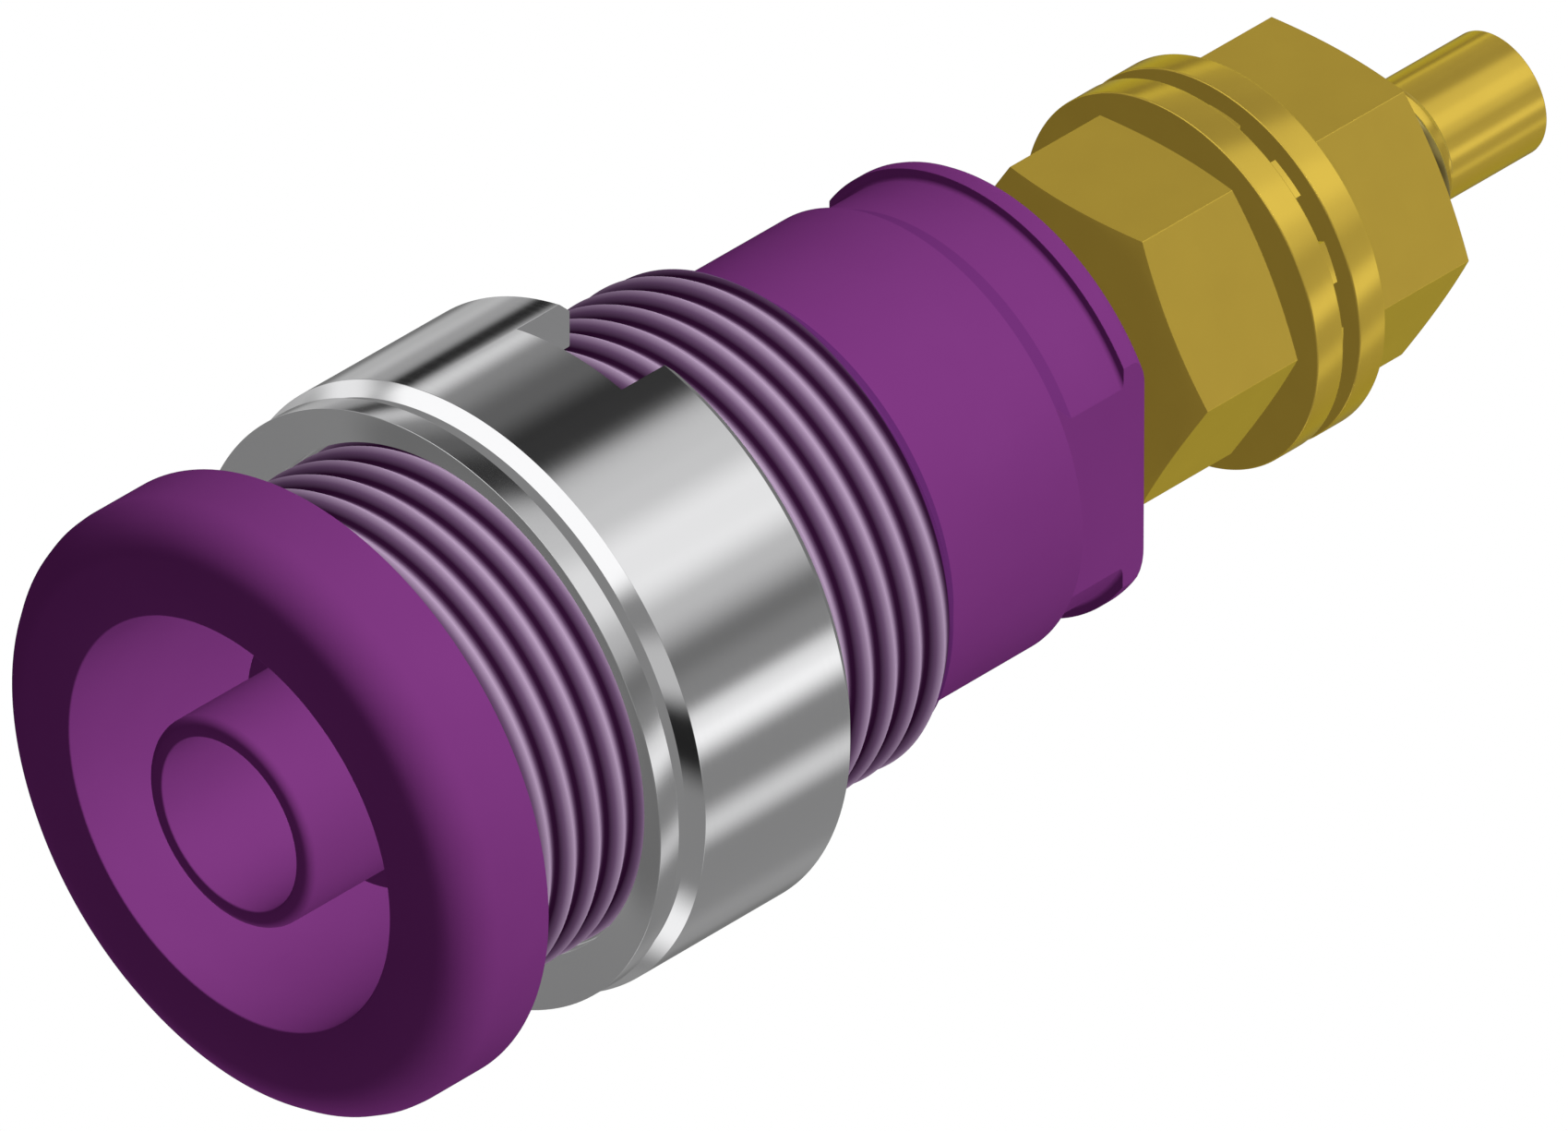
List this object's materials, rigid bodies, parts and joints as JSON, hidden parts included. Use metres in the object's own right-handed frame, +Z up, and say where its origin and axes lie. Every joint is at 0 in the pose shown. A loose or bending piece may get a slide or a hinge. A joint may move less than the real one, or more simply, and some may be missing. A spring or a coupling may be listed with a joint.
{
  "type": "safety banana socket",
  "caption": "Shrouded 4 mm safety socket for panels, with a ring nut and dished washer on its threaded sleeve and a nut and washers on its terminal stud.",
  "frame": {"origin": "on the socket's axis, in the plane where the back of the head seats on the panel", "axes": "+Y along the axis, from the mouth to the terminal stud's tip; +Z up, through a wrench slot of the ring nut; +X out of a wrench flat"},
  "size_m": [0.0144, 0.039, 0.0144],
  "materials": {
    "violet_plastic": "moulded polyamide in violet, satin gloss",
    "gold_plating": "turned brass with bright gold plating",
    "bright_nickel": "turned brass with bright nickel plating",
    "spring_steel": "pressed steel with grey plating"
  },
  "bodies": {
    "socket": {"insulating_body": "violet_plastic", "contact": "gold_plating", "front_washer": "gold_plating", "lock_washer": "gold_plating"},
    "ring_washer": {"dished_washer": "spring_steel"},
    "ring_nut": {"ring_nut": "bright_nickel"},
    "terminal_washer": {"rear_washer": "gold_plating"},
    "terminal_nut": {"terminal_nut": "gold_plating"}
  },
  "joints": [
    {"name": "ring_washer_slide", "type": "slide", "parent": "socket", "child": "ring_washer", "axis": [0, 1, 0], "range_m": [-0.00345, 0.0076]},
    {"name": "ring_nut_spin", "type": "hinge", "parent": "ring_washer", "child": "ring_nut", "pos_m": [0, 0.00442, 0], "axis": [0, 1, 0], "range_deg": [-1650, 3645]},
    {"name": "terminal_washer_slide", "type": "slide", "parent": "socket", "child": "terminal_washer", "axis": [0, 1, 0], "range_m": [0, 0.00325]},
    {"name": "terminal_nut_spin", "type": "hinge", "parent": "terminal_washer", "child": "terminal_nut", "pos_m": [0, 0.02837, 0], "axis": [0, 1, 0], "range_deg": [0, 1670]}
  ],
  "couplings": [
    {"joint": "ring_washer_slide", "follows": "ring_nut_spin", "m_per_rad": 0.00011937},
    {"joint": "terminal_washer_slide", "follows": "terminal_nut_spin", "m_per_rad": 0.00011141}
  ]
}
